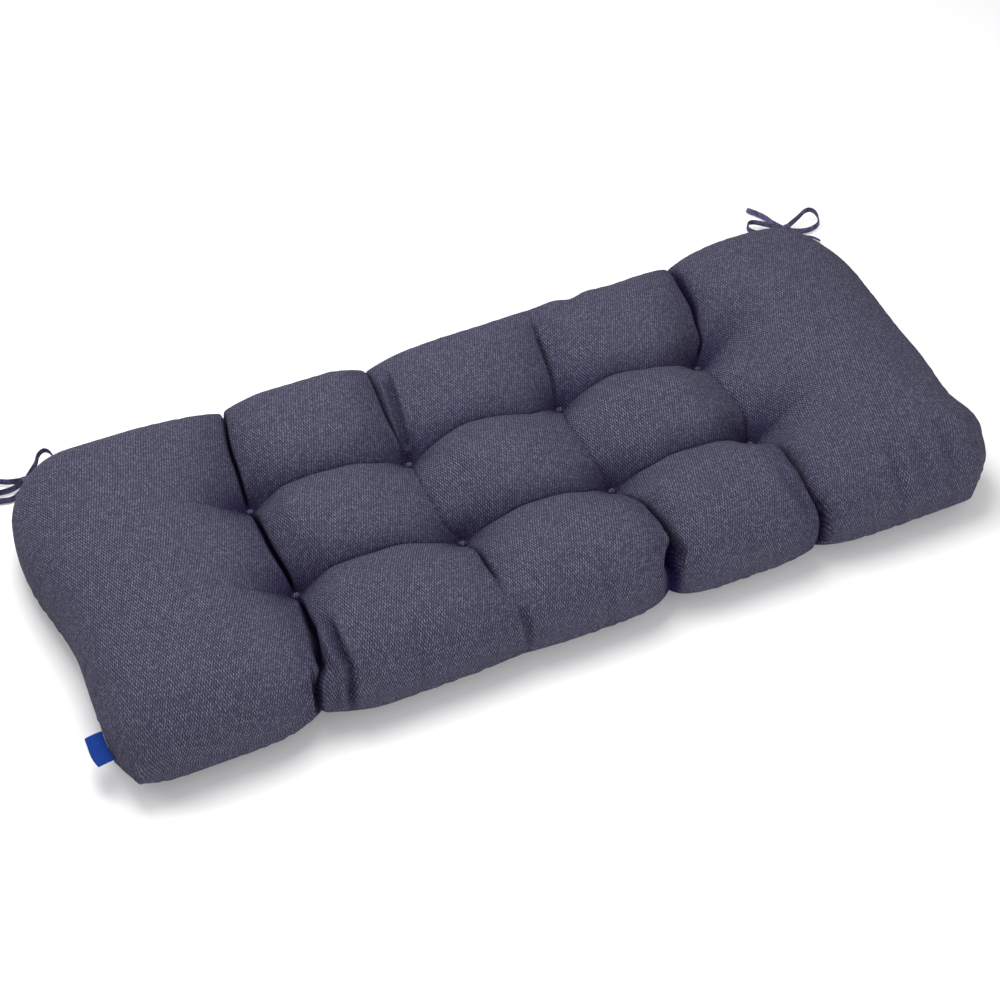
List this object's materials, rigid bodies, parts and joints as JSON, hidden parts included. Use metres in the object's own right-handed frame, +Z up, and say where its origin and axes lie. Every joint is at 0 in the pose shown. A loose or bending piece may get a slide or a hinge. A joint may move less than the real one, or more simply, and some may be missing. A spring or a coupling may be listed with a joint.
{
  "type": "bench cushion",
  "caption": "Tufted knife-edge bench cushion in heathered woven cloth, with tacked puffs, a bow of ties at each back corner and a bare woven side tab.",
  "frame": {"origin": "on the floor, under the middle of the seam outline", "axes": "+X along the length to the right of someone who faces the front edge, +Y from the front edge to the back edge with the ties, +Z up"},
  "size_m": [1.2202, 0.636, 0.1333],
  "materials": {
    "woven_cloth": "matt heathered woven polyester, navy grey",
    "tie_cloth": "matt woven polyester, stitched strap",
    "blue_woven_tab": "smooth royal blue damask tab, bare"
  },
  "bodies": {
    "root": {"cushion": "woven_cloth", "tack_front_1": "woven_cloth", "tack_front_2": "woven_cloth", "tack_front_3": "woven_cloth", "tack_front_4": "woven_cloth", "tack_back_1": "woven_cloth", "tack_back_2": "woven_cloth", "tack_back_3": "woven_cloth", "tack_back_4": "woven_cloth", "tie_left_knot": "tie_cloth", "tie_left_lead_a": "tie_cloth", "tie_left_lead_b": "tie_cloth", "tie_left_loop_a": "tie_cloth", "tie_left_loop_b": "tie_cloth", "tie_left_tail_a": "tie_cloth", "tie_left_tail_b": "tie_cloth", "tie_right_knot": "tie_cloth", "tie_right_lead_a": "tie_cloth", "tie_right_lead_b": "tie_cloth", "tie_right_loop_a": "tie_cloth", "tie_right_loop_b": "tie_cloth", "tie_right_tail_a": "tie_cloth", "tie_right_tail_b": "tie_cloth", "seam_tab": "blue_woven_tab"}
  },
  "joints": []
}
